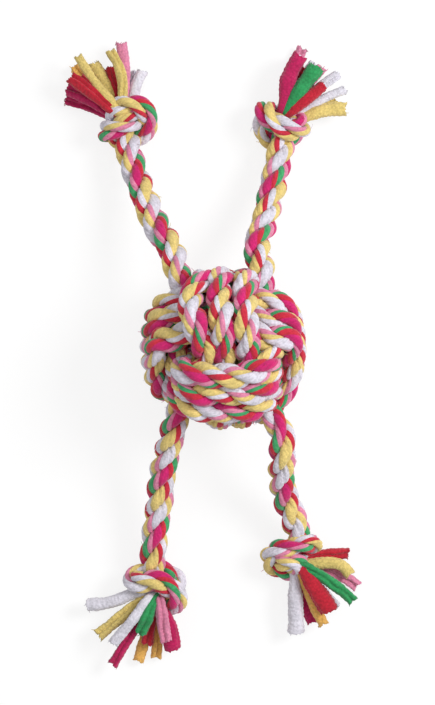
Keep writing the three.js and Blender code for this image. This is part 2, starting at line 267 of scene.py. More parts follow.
def cotton(name, colour, loop_painted_shade):
    """Dyed cotton jersey, with its knit along the strip, painted shade between its loops, and its dye
    and fuzz through the piece.
    """
    material, tree, shader = new_material(name, COTTON_FINISH)
    where = add_node(tree, "TexCoord", {}).outputs
    dye, fuzz = (
        add_node(
            tree,
            "TexNoise",
            {"Vector": where["Object"], "Scale": 1 / (size * MM), "Detail": PATTERN_DETAIL},
        ).outputs["Fac"]
        for size in (DYE_PATCH, FUZZ_TUFT)
    )
    # The strips' own frame is in millimetres
    loops = add_node(
        tree, "TexVoronoi", {"Vector": where["UV"], "Scale": 1 / KNIT_LOOP}, voronoi_dimensions="2D"
    ).outputs["Distance"]

    # The dye and fuzz give the cotton's own uneven tone; the loop pattern paints shade between the
    # knit loops and a faint light on their middles
    shades = [
        add_node(
            tree,
            "MapRange",
            {"Value": value, "From Min": low, "From Max": high, "To Min": first, "To Max": last},
        ).outputs["Result"]
        for value, low, high, first, last in (
            (dye, *DYE_SHADES),
            (fuzz, *FUZZ_SHADES),
            (loops, LOOP_FROM, LOOP_TO, LOOP_PAINTED_LIGHT, loop_painted_shade),
        )
    ]
    shade = shades[0]
    for other in shades[1:]:
        both = add_node(tree, "Math", {0: shade, 1: other}, operation="MULTIPLY")
        shade = both.outputs["Value"]
    # The cotton's colour: its dye, its own uneven tone, and the painted shade between its loops
    dye_and_painted_shade = add_node(
        tree,
        "Mix",
        {"Factor": 1, "A": linear(colour), "B": shade},
        data_type="RGBA",
        blend_type="MULTIPLY",
    )
    tree.links.new(dye_and_painted_shade.outputs["Result"], shader.inputs["Base Color"])

    # The cotton is high in a loop's middle, where the pattern's distance is least
    knitted = add_node(
        tree,
        "Bump",
        {"Height": loops, "Strength": LOOP_RELIEF, "Distance": LOOP_DEPTH * MM},
        invert=True,
    )
    fuzzy = add_node(
        tree,
        "Bump",
        {
            "Height": fuzz,
            "Strength": FUZZ_RELIEF,
            "Distance": FUZZ_DEPTH * MM,
            "Normal": knitted.outputs["Normal"],
        },
    )
    tree.links.new(fuzzy.outputs["Normal"], shader.inputs["Normal"])
    return material


ROPE_COTTON = {
    name: cotton("twisted_cotton_" + name, colour, ROPE_LOOP_PAINTED_SHADE)
    for name, colour in COLOURS.items()
}
LOOSE_JERSEY = {
    name: cotton("cotton_jersey_" + name, colour, LOOSE_LOOP_PAINTED_SHADE.get(name, STRIP_LOOP_PAINTED_SHADE))
    for name, colour in {**COLOURS, **LOOSE_COLOURS}.items()
}


def spaced(points, step):
    """The same path with even steps; paths are in millimetres."""
    points = np.asarray(points, float)
    reach = np.concatenate([[0], np.cumsum(np.linalg.norm(np.diff(points, axis=0), axis=1))])
    count = max(2, int(round(reach[-1] / step)))
    at = np.linspace(0, reach[-1], count + 1)
    return np.stack([np.interp(at, reach, points[:, k]) for k in range(3)], 1)


def smooth_path(points, per=24):
    """A centripetal Catmull-Rom curve through the points."""
    p = np.asarray(points, float)
    p = np.vstack([2 * p[0] - p[1], p, 2 * p[-1] - p[-2]])
    out = []
    for i in range(1, len(p) - 2):
        a, b, c, d = p[i - 1 : i + 3]
        t = np.cumsum([0] + [max(np.linalg.norm(v), 1e-9) ** 0.5 for v in (b - a, c - b, d - c)])
        for u in np.linspace(t[1], t[2], per, endpoint=False):
            ab = ((t[1] - u) * a + (u - t[0]) * b) / (t[1] - t[0])
            bc = ((t[2] - u) * b + (u - t[1]) * c) / (t[2] - t[1])
            cd = ((t[3] - u) * c + (u - t[2]) * d) / (t[3] - t[2])
            abc = ((t[2] - u) * ab + (u - t[0]) * bc) / (t[2] - t[0])
            bcd = ((t[3] - u) * bc + (u - t[1]) * cd) / (t[3] - t[1])
            out.append(((t[2] - u) * abc + (u - t[1]) * bcd) / (t[2] - t[1]))
    out.append(p[-2])
    return np.array(out)


def relaxed(points, rounds):
    """Evens out corners by moving each point towards its neighbours' middle."""
    p = np.array(points)
    for _ in range(rounds):
        p[1:-1] += 0.5 * ((p[:-2] + p[2:]) / 2 - p[1:-1])
    return p


def along(path):
    """How far along the path each point is."""
    return np.concatenate([[0], np.cumsum(np.linalg.norm(np.diff(path, axis=0), axis=1))])


def unit(v):
    """Vectors of length 1 in the same directions."""
    return v / np.maximum(np.linalg.norm(v, axis=-1, keepdims=True), 1e-12)


def frames(path):
    """Two normals that don't turn round the path, at each point."""
    tangent = unit(np.gradient(path, axis=0))
    normal = np.empty_like(path)
    helper = np.array([0, 0, 1.0]) if abs(tangent[0][2]) < 0.9 else np.array([1.0, 0, 0])
    n = np.cross(helper, tangent[0])
    for i, t in enumerate(tangent):
        n = n - t * n.dot(t)
        n = n / np.linalg.norm(n)
        normal[i] = n
    return normal, np.cross(tangent, normal)


def make_mesh(name, points, faces, uvs, slots, materials):
    """A smooth, closed object of quads in metres; each open rim gets a cap of its own colour."""
    mesh = bpy.data.meshes.new(name)
    points = np.asarray(points, np.float32)
    faces = np.asarray(faces, np.int32)
    starts = np.arange(0, faces.size, faces.shape[1], dtype=np.int32)
    mesh.vertices.add(len(points))
    mesh.vertices.foreach_set("co", points.ravel())
    mesh.loops.add(faces.size)
    mesh.loops.foreach_set("vertex_index", faces.ravel())
    mesh.polygons.add(len(faces))
    mesh.polygons.foreach_set("loop_start", starts)
    mesh.polygons.foreach_set("loop_total", np.full(len(faces), faces.shape[1], np.int32))
    mesh.polygons.foreach_set("material_index", np.asarray(slots, np.int32))
    mesh.polygons.foreach_set("use_smooth", np.ones(len(faces), bool))
    layer = mesh.uv_layers.new(name="strip")
    layer.data.foreach_set("uv", np.asarray(uvs, np.float32).ravel())
    for material in materials:
        mesh.materials.append(material)
    mesh.update(calc_edges=True)
    mesh.validate()
    closed = bmesh.new()
    closed.from_mesh(mesh)
    rims = [edge for edge in closed.edges if edge.is_boundary]
    neighbour = {edge: edge.link_faces[0].material_index for edge in rims}
    for cap in bmesh.ops.holes_fill(closed, edges=rims, sides=0)["faces"]:
        cap.material_index = neighbour[cap.edges[0]]
        cap.smooth = True
    closed.to_mesh(mesh)
    closed.free()
    obj = bpy.data.objects.new(name, mesh)
    bpy.context.scene.collection.objects.link(obj)
    return obj


def wobble(at, seed, size, longest=LONGEST_WAVE):
    """Slow uneven variation along a length, of waves from the longest down, the same each run."""
    rng = np.random.default_rng(seed)
    out = np.zeros(len(at))
    for k in range(WAVES):
        wave = longest / (1 + k * WAVE_STEP)
        out += np.sin(2 * np.pi * at / wave + rng.uniform(0, 2 * np.pi)) / (k + 1)
    return size * out / 2


def strand_ring(strand):
    """The colour of each side of a strand's ring, and its outline with a groove between strips."""
    colours, edges = [], []
    for colour, sides in strand:
        edges.append(len(colours))
        colours += [colour] * sides
    at = np.arange(RING_SIDES)
    outline = np.ones(RING_SIDES)
    for edge in edges:
        apart = (at - edge + RING_SIDES / 2) % RING_SIDES - RING_SIDES / 2
        outline -= GROOVE_DEPTH * np.exp(-((apart / GROOVE_SIDES) ** 2))
    return colours, outline


def tube_faces(rings, count, start=0):
    """Quads between rings of points that lie one after another."""
    i = np.arange(rings - 1)[:, None]
    k = np.arange(count)[None, :]
    a, b = start + i * count + k, start + i * count + (k + 1) % count
    return np.stack([a, b, b + count, a + count], -1).reshape(-1, 4)


def tube_uvs(at, girth, count, beside=0):
    """Those quads' places in the unrolled tube: along it and round it, in millimetres."""
    u0, u1 = np.repeat(at[:-1], count), np.repeat(at[1:], count)
    v0 = np.tile(girth * np.arange(count) / count, len(at) - 1) + beside
    v1 = v0 + girth / count
    return np.stack([u0, v0, u0, v1, u1, v1, u1, v0], -1).reshape(-1, 2)


def tube_rings(centre, radius, angle, out, side):
    """Rings of points round the points of a path, at angles from out towards side."""
    return (
        centre[:, None, :]
        + (radius * np.cos(angle))[..., None] * out[:, None, :]
        + (radius * np.sin(angle))[..., None] * side[:, None, :]
    )


def threads(roots, headings, lengths, bends, radius, start):
    """Thin curling threads, each from its root, first direction, length and curl."""
    points, faces = [], []
    for at, heading, length, bend in zip(roots, headings, lengths, bends):
        line = []
        for _ in range(THREAD_STEPS):
            line.append(at)
            heading = unit(heading + bend)
            at = at + heading * length / THREAD_STEPS
        line = np.array(line)
        normal, binormal = frames(line)
        thick = radius * np.linspace(1, THREAD_TIP_SHARE, THREAD_STEPS)
        turn = 2 * np.pi * np.arange(THREAD_SIDES) / THREAD_SIDES
        rings = tube_rings(line, thick[:, None], turn, normal, binormal)
        faces.append(tube_faces(THREAD_STEPS, THREAD_SIDES, start))
        points.append(rings.reshape(-1, 3))
        start += THREAD_STEPS * THREAD_SIDES
    return np.concatenate(points), np.concatenate(faces)


def grounded(points):
    """Points pressed flat where the soft piece lies on the floor."""
    pressed = FLOOR_PRESS + FLOOR_SOFTNESS * (points[:, 2] - FLOOR_PRESS)
    points[:, 2] = np.maximum(points[:, 2], pressed)
    points[:, 2] = np.maximum(points[:, 2], FLOOR_CLEARANCE)
    return points


def rope(
    name, path, diameter, seed, phase=0.0, squeeze=None, lay=KNOT_LAY, roll=(0, 0, 0),
    twist=STRIP_TWIST, strands=LEG_STRANDS,
):
    """Three strands round a path in millimetres, each of several strips; returns the object.

    The phase turns all strands, a roll turns one in itself, and squeeze moves the finished points.
    """
    path = np.asarray(path, float)
    n = len(path)
    size = np.broadcast_to(np.asarray(diameter, float), (n,))
    at = along(path)
    normal, binormal = frames(path)
    step = np.diff(at, prepend=0)
    turn = phase + 2 * np.pi * np.cumsum(step / (np.linspace(*lay, n) * size))
    psi = 2 * np.pi * np.arange(RING_SIDES) / RING_SIDES
    points, faces, uvs, slots, dyes = [], [], [], [], []
    names = sorted(COLOURS)
    # A small ring more at each end rounds the strand off
    source = np.concatenate([[0], np.arange(n), [n - 1]])
    shrink = np.where(np.isin(np.arange(n + 2), (0, n + 1)), END_SHARE, 1)[:, None, None]
    far = at[source] + np.where(shrink[:, 0, 0] < 1, np.sign(np.arange(n + 2) - 1), 0)
    for j, strand in enumerate(strands):
        ring_colours, outline = strand_ring(strand)
        theta = turn + 2 * np.pi * j / 3 + wobble(at, seed + 7 * j, UNEVEN_TURN)
        radial = np.cos(theta)[:, None] * normal + np.sin(theta)[:, None] * binormal
        core = STRAND_CENTRE_SHARE * size * (1 + wobble(at, seed + 31 * j + 3, UNEVEN_CENTRE))
        centre = path + core[:, None] * radial
        own = unit(np.gradient(centre, axis=0))
        out = unit(radial - own * (radial * own).sum(1, keepdims=True))
        side = np.cross(own, out)
        thick = STRAND_RADIUS_SHARE * size * (1 + wobble(at, seed + 13 * j + 5, UNEVEN_THICKNESS))
        counter = twist * (STRAND_CENTRE_SHARE + STRAND_RADIUS_SHARE) / STRAND_RADIUS_SHARE
        phi = psi[None, :] - counter * theta[:, None] + j + math.radians(roll[j])
        rings = tube_rings(centre, thick[:, None] * outline[None, :], phi, out, side)
        rings = centre[source][:, None, :] + shrink * (rings - centre[:, None, :])[source]
        points.append(rings.reshape(-1, 3))
        faces.append(tube_faces(n + 2, RING_SIDES, j * (n + 2) * RING_SIDES))
        uvs.append(tube_uvs(far, STRAND_GIRTH, RING_SIDES, STRAND_APART * j))
        ring_slots = [names.index(colour) for colour in ring_colours]
        slots.append(np.tile(ring_slots, n + 1))
        dyes.append(np.tile(ring_slots, n + 2))
    points = np.concatenate(points)
    ring_of = np.tile(np.repeat(source, RING_SIDES), len(strands))
    if squeeze is not None:
        points = squeeze(points, ring_of)

    # Loose fibres stand out of the rope's outside, each in its own strip's colour
    rng = np.random.default_rng(seed + FIBRE_SEED)
    away = points - path[ring_of]
    outside = np.flatnonzero(np.linalg.norm(away, axis=1) > FIBRE_FROM * size[ring_of])
    count = int(at[-1] / FIBRE_SPACING)
    root = rng.choice(outside, count, replace=False)
    headings = unit(unit(away[root]) + rng.normal(0, FIBRE_LEAN, (count, 3)))
    lengths = rng.uniform(*FIBRE_LENGTHS, count)
    curls = rng.normal(0, FIBRE_CURL, (count, 3))
    loose, loose_faces = threads(points[root], headings, lengths, curls, FIBRE_RADIUS, len(points))
    slots.append(np.repeat(np.concatenate(dyes)[root], len(loose_faces) // count))
    return make_mesh(
        name,
        grounded(np.concatenate([points, loose])) * MM,
        np.concatenate([*faces, loose_faces]),
        np.concatenate([*uvs, np.zeros((4 * len(loose_faces), 2))]),
        np.concatenate(slots),
        [ROPE_COTTON[colour] for colour in names],
    )


# X is to the right, Y up the picture and Z towards the camera
X, Y, Z = np.eye(3)

# The ball is one rope in three crossing bands of three turns, with angles in degrees.
# Where in its turn each band steps over to its next turn
EDGE_EARLY, EDGE_LATE = 25, 50
COVER_FROM, COVER_TO = 222, 318
# Where the rope comes in, goes over from band to band, and goes out
ENTRY_ANGLE, FIRST_LEAVE, SECOND_LEAVE, EXIT_ANGLE = 52, 20, 6, 2
FIRST_BAND_END, SECOND_BAND_END, THIRD_BAND_END, ANGLE_STEP = 1080, 900, 990, 0.5
BRIDGE_STEPS = 40
EVEN_BEFORE, EVEN_AFTER = 6, 3
BALL_STEP = 1.35


def shift(angle, start, end):
    """From 0 at the start to 1 at the end, with soft ends."""
    t = np.clip((angle - start) / (end - start), 0, 1)
    return t * t * (3 - 2 * t)


# How many pitches beside its band's middle the rope is, in the first, second and third band
def band_a(angle):
    return -1 + sum(shift(angle, 360 * k - EDGE_EARLY, 360 * k + EDGE_LATE) for k in (1, 2, 3))


def band_b(angle):
    return -1 + sum(shift(angle, 360 * k + COVER_FROM, 360 * k + COVER_TO) for k in (0, 1))


def band_c(angle):
    return -2 + sum(shift(angle, 360 * k - EDGE_LATE, 360 * k + EDGE_EARLY) for k in (0, 1, 2))


def loop(angle, turns, out, inward, side):
    """Points of a band at the angles: a rounded square with a long and a short half width."""
    angle = np.asarray(angle, float)
    c, s = np.cos(np.radians(angle)), np.sin(np.radians(angle))
    m = LOOP_EXPONENT
    reach = (np.abs(c / OUT_REACH) ** m + np.abs(s / IN_REACH) ** m) ** (-1 / m)
    offset = turns(angle)
    outer = reach * c
    rise = CROWN_RISE * (1 - np.minimum(1, offset**2)) * outer / OUT_REACH
    return (
        (outer + rise)[:, None] * out
        + (reach * s)[:, None] * inward
        + (PITCH * offset)[:, None] * side
    )


def bridge(before, after):
    """The rope from one band's end to the next one's start."""
    a, b = before[-1], after[0]
    leaving, arriving = unit(before[-1] - before[-2]), unit(after[1] - after[0])
    t = np.linspace(0, 1, BRIDGE_STEPS)[1:-1, None]
    p, q = a + BRIDGE_PULL * leaving, b - BRIDGE_PULL * arriving
    return (1 - t) ** 3 * a + 3 * t * (1 - t) ** 2 * p + 3 * t * t * (1 - t) * q + t**3 * b


def tilted(p):
    """The bands turned about the left-right axis as they lie in the photo."""
    angle = np.radians(TILT_DEGREES - LEAN_DEGREES * p[:, 2] / OUT_REACH)
    return np.stack(
        [
            p[:, 0],
            p[:, 1] * np.sin(angle) + p[:, 2] * np.cos(angle),
            p[:, 1] * np.cos(angle) - p[:, 2] * np.sin(angle),
        ],
        1,
    )


def winding_path():
    """The whole rope of the ball, with both its ends tucked towards the middle."""
    a = loop(np.arange(ENTRY_ANGLE, FIRST_BAND_END + FIRST_LEAVE, ANGLE_STEP), band_a, -Y, -Z, X)
    b = loop(np.arange(-SECOND_LEAVE, SECOND_BAND_END + SECOND_LEAVE, ANGLE_STEP), band_b, X, Y, Z)
    c = loop(np.arange(-FIRST_LEAVE, THIRD_BAND_END + EXIT_ANGLE, ANGLE_STEP), band_c, Z, X, Y)
    tucked = [[end * k for k in TUCKED] for end in (a[0], c[-1])]
    whole = np.vstack([tucked[0], a, bridge(a, b), b, bridge(b, c), c, tucked[1][::-1]])
    whole = tilted(relaxed(spaced(whole, BALL_STEP), EVEN_BEFORE))
    return relaxed(settled(whole), EVEN_AFTER) + BALL_CENTRE


# Where soft turns of the front have shifted: place x and y, width, then the shift in x and y
SHIFTS = (
    (-13, 21, 10, -3.4, 0.0),
    (-15, 38, 7, 5.0, -1.0),
    (14, 22, 12, -1.6, 0.0),
    (-28, -2, 9, 4.5, -5.5),
    (-29, -20, 9, 5.0, 0.5),
    (0, -26, 8, 0.0, 2.5),
    (24, 7, 8, -1.5, -4.0),
    (26, 16, 8, 0.0, -2.0),
    (-26, 1, 7, 3.0, -3.0),
    (-14, -3, 7, 4.0, 0.0),
    (-6, 32, 10, -2.0, 0.0),
    (26, -9, 9, 0.0, 2.5),
    (-21, 2, 6, 0.0, -3.5),
    (-25, 9, 6, 0.0, -1.5),
)
FRONT_FROM, FRONT_TO = 4, 18
# The front's lower turns curve up at the sides like a smile
SMILE, SMILE_SPAN, SMILE_MIDDLE, SMILE_FROM, SMILE_TO = 5, 28, 0.3, 5, 15
# How much of their height the ball's lower and upper halves keep
LOW_HALF, HIGH_HALF = 0.955, 0.975
# Out to this radius the outline stays, and beyond it turns are drawn in
ROUND_FROM, ROUND_OVER = 29, 13.5
TUCKED = (0.3, 0.45, 0.62, 0.8)
HEART_RADIUS, HEART_TUBE, HEART_ROPE_DIAMETER, HEART_STEPS, HEART_STEP = 7, 5, 13, 200, 1.8


def settled(p):
    """The turns as the soft rope lies: some shifted a little, and the ball's outline rounded."""
    x, y, z = (p[:, k].copy() for k in range(3))
    front = shift(z, FRONT_FROM, FRONT_TO)
    dx, dy = np.zeros_like(x), np.zeros_like(y)
    for px, py, width, sx, sy in SHIFTS:
        near = front * np.exp(-((x - px) ** 2 + (y - py) ** 2) / width**2)
        dx += near * sx
        dy += near * sy
    x, y = x + dx, y + dy
    smile = SMILE * ((x / SMILE_SPAN) ** 2 - SMILE_MIDDLE)
    y = y + front * shift(-y, SMILE_FROM, SMILE_TO) * smile
    y = y * np.where(y < 0, LOW_HALF, HIGH_HALF)
    reach = np.hypot(x, y)
    beyond = np.maximum(reach - ROUND_FROM, 0)
    kept = np.minimum(reach, ROUND_FROM) + ROUND_OVER * (1 - np.exp(-beyond / ROUND_OVER))
    share = kept / np.maximum(reach, 1e-9)
    return np.stack([x * share, y * share, z], 1)


def make_ball():
    """The wound rope, squeezed flatter towards and away from the ball's middle."""
    path = winding_path()
    tangent = unit(np.gradient(path, axis=0))
    outward = path - BALL_CENTRE
    outward = unit(outward - tangent * (outward * tangent).sum(1, keepdims=True))

    def squeeze(points, ring):
        away = points - path[ring]
        part = (away * outward[ring]).sum(1, keepdims=True) * outward[ring]
        return points - (1 - BALL_SQUEEZE_SHARE) * part

    ball = rope(
        "ball_rope", path, BALL_ROPE_DIAMETER, seed=5, squeeze=squeeze, lay=BALL_LAY,
        twist=BALL_STRIP_TWIST, strands=BALL_STRANDS,
    )
    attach(ball, "ball")
    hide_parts("ball_winding")


def make_heart():
    """The second rope's knot inside the winding: a trefoil."""
    t = np.linspace(0, 2 * np.pi, HEART_STEPS)
    reach = HEART_RADIUS + HEART_TUBE * np.cos(3 * t)
    path = np.stack([reach * np.cos(2 * t), HEART_TUBE * np.sin(3 * t), reach * np.sin(2 * t)], 1)
    path = spaced(path + BALL_CENTRE, HEART_STEP)
    heart = rope("heart_rope", path, HEART_ROPE_DIAMETER, seed=9)
    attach(heart, "ball")
    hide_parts("heart_knot")


# Tying a knot: points per rope diameter, and from how far along the rope two points push apart
TIE_ROUNDS, TIE_POINTS, TIE_SKIP = 140, 3.2, 1.5
# How near to itself and how low the soft rope can lie, in rope diameters
TIE_NEAR, TIE_LOW = 0.74, 0.42
# How much each round evens the route and draws it back to where it was drawn
TIE_EVEN, TIE_HOME = 0.12, np.array([0.06, 0.06, 0.03])


def tied(points, d):
    """The knot's drawn route with its passes pushed apart as far as the soft rope lets them lie."""
    step = d / TIE_POINTS
    p = spaced(smooth_path(points), step)
    home = p.copy()
    first, second = np.triu_indices(len(p), int(math.ceil(TIE_SKIP * d / step)))
    for _ in range(TIE_ROUNDS):
        p[1:-1] += TIE_EVEN * ((p[:-2] + p[2:]) / 2 - p[1:-1])
        apart = p[second] - p[first]
        length = np.sqrt((apart * apart).sum(1))
        hit = length < TIE_NEAR * d
        if hit.any():
            i, j = first[hit], second[hit]
            push = 0.5 * (TIE_NEAR * d - length[hit])[:, None] * apart[hit] / length[hit][:, None]
            total, count = np.zeros_like(p), np.zeros(len(p))
            np.add.at(total, i, -push)
            np.add.at(total, j, push)
            np.add.at(count, i, 1)
            np.add.at(count, j, 1)
            p += total / np.maximum(count, 1)[:, None]
        p += TIE_HOME * (home - p)
        p[:, 2] = np.maximum(p[:, 2], TIE_LOW * d)
    return p


# Legs in millimetres: x and y from the ball's centre, z above the floor. Ankles and knots are at
# the solids' own places. A tie's points are given from the knot's middle. Rope is the diameter in
# the knot. Phase and turn twist the leg and the knot in radians, and roll turns each strand in
# degrees. Strips: direction in degrees, share of the longest reach, layer, colour, bow and width in
# millimetres, and the slit's angle in degrees.
LEGS = {
    "upper_left": {
        "seat": [-20.5, 32.21, 48.19],
        "bend": [-26, 50, 38],
        "route": [[-30.5, 56.5, 33], [-35, 64.5, 28], [-38.5, 74, 23], [-42.5, 84, 18.5]],
        "ankle": [-47, 95, 15],
        "knot": [-48.5, 114],
        "neck": [-47.5, 101, 14.5],
        "rope": 11.2, "phase": 0.0, "roll": (180, 5, 11), "lay": (2.5, 2.5), "turn": 0,
        "tie": [
            (1, -6.5, 12), (-2.5, -1.5, 12), (-6.5, 2, 13), (-8, 5, 16), (-4.5, 7.5, 19),
            (2, 8, 20.5), (8, 6.5, 20), (10.5, 2, 18), (10, -3.5, 13), (6.5, -7.5, 8),
            (0, -9, 5.5), (-6, -9, 6), (-10, -7, 10), (-11, -4.5, 15), (-8, -4, 19.5),
            (-3, -3.5, 21), (2.5, -2, 20.5), (6.5, 0.5, 17), (6.5, 4, 12), (2.5, 7, 8),
            (-2, 10, 8),
        ],
        "strips": [
            (72, 0.578, 1, "white", 0.5, 5.8, 180),
            (79, 0.556, 0, "white", 0, 5.4, 0),
            (93.7, 0.867, 1, "pink", -0.3, 6, 180),
            (103, 0.789, 2, "yellow", -2.6, 5.2, 15),
            (106.5, 0.622, 1, "red", 0.4, 5.2, 0),
            (113.3, 0.622, 0, "red", 0, 5.4, 180),
            (120, 0.733, 1, "yellow", -0.5, 6.4, 180),
            (127, 0.889, 2, "yellow", 0.8, 4.4, 180),
            (133, 0.844, 0, "gold", 0, 7, 0),
            (137, 0.7, 1, "red", 0, 5.4, -30),
            (142.5, 0.778, 2, "red", -0.5, 6.2, 20),
            (152, 0.744, 1, "magenta", -0.6, 6.6, 10),
            (160, 0.722, 0, "magenta", -0.6, 5.4, 0),
        ],
    },
    "upper_right": {
        "seat": [19.5, 32.21, 48.19],
        "bend": [16.5, 50, 38],
        "route": [[18.7, 57, 33], [21.3, 64.5, 28], [23.5, 74, 23], [25.8, 84, 18.5]],
        "ankle": [28, 94, 15],
        "knot": [27.5, 113],
        "neck": [29, 100, 14.5],
        "rope": 11.6, "phase": 1.0, "roll": (85, 90, -95), "lay": (2.5, 2.5), "turn": 4.19,
        "tie": [
            (2.5, -7, 12), (4.5, -0.5, 12), (7.5, 3, 10), (11.5, 2.5, 10), (13, -2, 13),
            (11, -4.5, 18), (6, -4.5, 20.5), (0, -3, 21), (-5, 1.5, 20.5), (-7.5, 6, 19),
            (-5.5, 8.5, 14), (-6, 4.5, 8), (-8, -1.5, 6), (-8.5, -7, 7), (-4, -9.5, 6),
            (3, -9, 5.5), (9.5, -6.5, 6), (10.5, -1, 6), (6, 4, 8), (3, 6.5, 10),
        ],
        "strips": [
            (72, 0.889, 0, "pink", 0.5, 5.6, 0),
            (59, 0.789, 0, "white", 0, 5.4, 0),
            (22, 0.7, 0, "yellow", 0.5, 5.4, 0),
            (74.5, 0.778, 1, "white", -1, 4.4, 180),
            (64, 0.667, 1, "red", 1.5, 6, 180),
            (51.5, 0.789, 1, "pink", 0, 5.6, 0),
            (39, 0.867, 1, "white", 0.4, 5, 20),
            (26.5, 0.833, 1, "white", 0.8, 4.6, 180),
            (11.6, 0.767, 1, "yellow", 1.2, 7, 180),
            (71.5, 0.778, 2, "magenta", 2, 8, 180),
            (55, 0.744, 2, "green", 0, 8.2, 180),
            (39, 0.644, 2, "red", 0, 6.2, 180),
        ],
    },
    "lower_left": {
        "seat": [-21.54, -30.40, 45.62],
        "bend": [-27, -49, 35.5],
        "route": [
            [-28.7, -55.5, 31.5], [-30.5, -63.5, 26.5], [-31.7, -76, 21.5], [-33.7, -89, 17.5],
        ],
        "ankle": [-35.5, -101, 15],
        "knot": [-32.5, -120],
        "neck": [-35.3, -105, 14.5],
        "rope": 11.6, "phase": 3.6, "roll": (-56, -6, 0), "lay": (2.5, 2.5), "turn": 4.19,
        "tie": [
            (-2.5, 4, 11), (-5, 7.5, 12), (-9.5, 8, 13), (-14, 5, 14), (-15, 2.5, 16),
            (-11.5, 2, 19), (-5.5, 4, 21), (0.5, 4.5, 21), (6, 2, 20.5), (9, -2.5, 18),
            (9, -6.5, 12), (4, -7.5, 7), (-3, -4.5, 6), (-8, 1, 6), (-6, 7, 6), (1, 9, 7),
            (8, 6.5, 8), (11, 1, 8), (8, -4, 9), (2, -5, 11),
        ],
        "strips": [
            (194, 0.811, 1, "white", 1.4, 6.4, 180),
            (219, 0.856, 1, "yellow", 0, 6.4, 10),
            (231, 0.789, 2, "white", 0, 5.4, 180),
            (239.5, 1, 1, "magenta", 0.5, 5.2, 0),
            (249, 0.544, 2, "green", 0, 6.4, -5),
            (255, 0.867, 0, "gold", 0, 5.6, 180),
            (259, 0.644, 1, "red", 0, 5.8, 10),
            (268, 0.8, 0, "gold", 0.4, 5.4, 0),
            (279, 0.6, 2, "pink", -0.4, 6.4, 8),
            (283, 0.711, 1, "magenta", 0.8, 8.6, 180),
        ],
    },
    "lower_right": {
        "seat": [28.32, -39.90, 47.33],
        "bend": [29.4, -49.5, 45],
        "route": [[29.2, -56.5, 40], [28.7, -64, 32.5], [31, -74.5, 23]],
        "ankle": [34.9, -85.6, 15],
        "knot": [35.5, -105],
        "neck": [37.5, -92, 14.5],
        "rope": 10.2, "phase": 0.7, "roll": (164, 259, 175), "lay": (2.45, 3.0), "turn": 0,
        "tie": [
            (2, 8.5, 11), (4, 4.5, 8), (8, 4.5, 8), (11.5, 6.5, 12), (10.5, 8, 17),
            (5, 7, 20.5), (-1.5, 5.5, 21), (-7, 4, 19), (-11, 1, 14), (-11, -3.5, 9),
            (-6.5, -7, 7), (-0.5, -8, 8), (3.5, -5.5, 12), (4, -2.5, 17), (0.5, -1, 20.5),
            (-5, -1, 20), (-9, -1.5, 15), (-6.5, -0.5, 9), (0, 0, 8), (6.5, -1.5, 10),
        ],
        "strips": [
            (3, 0.611, 0, "red", 0.5, 5.6, 20),
            (343, 0.656, 1, "yellow", 3.2, 6, 180),
            (335, 0.789, 0, "pink", 1.9, 6.4, 30),
            (324, 0.811, 2, "green", 1.2, 5.8, 5),
            (311, 0.744, 0, "white", 0, 5, 0),
            (304, 0.7, 2, "red", 0, 9.4, 180),
            (294, 0.822, 1, "gold", 0, 5.6, 180),
            (286, 0.767, 0, "magenta", -1, 5.8, 180),
            (272, 0.844, 1, "white", 0, 8.2, 180),
        ],
    },
}
KNOT_HEIGHT = 13
# How much of a leg is hidden in the ball
HIDDEN_START = 12
ROPE_STEP = 0.9
LEG_EVEN, KNOT_EVEN, KNOT_SMOOTH = 8, 2, 6
# A leg is thinner where it goes into its knot, and a little where it comes out of the ball
ENTRY_LENGTH, ENTRY_OVER, ENTRY_LOSS = 13, 10, 0.30
ROOT_SHARE, ROOT_OVER = 0.87, 25
# The rope in a knot gets thinner towards its hidden ends
KNOT_END_SHARE, KNOT_END_OVER = 0.72, 10


def place(p):
    """A point of the table above in the frame; the knots' middles have no z of their own."""
    x, y, *z = p
    return np.array([x + BALL_CENTRE[0], y + BALL_CENTRE[1], z[0] if z else KNOT_HEIGHT])


def make_leg(name, leg):
    """The rope from inside the ball to its knot, and the rope in the knot."""
    seat, bend, ankle, neck, knot = (
        place(leg[key]) for key in ("seat", "bend", "ankle", "neck", "knot")
    )
    inner = seat + unit(BALL_CENTRE - seat) * HIDDEN_START
    tie = [knot * [1, 1, 0] + p for p in np.array(leg["tie"], float)]
    route = smooth_path([inner, seat, bend, *[place(p) for p in leg["route"]], neck, *tie[:2]])
    path = relaxed(spaced(route, ROPE_STEP), LEG_EVEN)
    at = along(path)
    hidden = np.clip((at - (at[-1] - ENTRY_LENGTH)) / ENTRY_OVER, 0, 1)
    size = LEG_DIAMETER * (1 - ENTRY_LOSS * hidden * hidden * (3 - 2 * hidden))
    size = size * (ROOT_SHARE + (1 - ROOT_SHARE) * np.clip(at / ROOT_OVER, 0, 1))
    # The lower legs' strands lie as the rope runs, from the knot to the ball
    order = -1 if name.startswith("lower") else 1
    piece = rope(
        name + "_leg_rope", path[::order], size[::order], seed=len(name) * 3, phase=leg["phase"],
        lay=leg["lay"], roll=leg["roll"],
    )
    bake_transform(piece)
    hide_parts(name + "_leg_root", name + "_leg_shank")

    knot_path = smooth_path(relaxed(tied(tie, leg["rope"]), KNOT_EVEN), KNOT_SMOOTH)
    knot_path = spaced(knot_path, ROPE_STEP)
    at = along(knot_path)
    ends = np.clip(np.minimum(at, at[-1] - at) / KNOT_END_OVER, 0, 1)
    size = leg["rope"] * (KNOT_END_SHARE + (1 - KNOT_END_SHARE) * ends * (2 - ends))
    knotted = rope(name + "_knot_rope", knot_path, size, seed=len(name) * 5, phase=leg["turn"])
    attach(knotted, name + "_tassel")
    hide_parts(name + "_knot")
    return piece, knotted, path


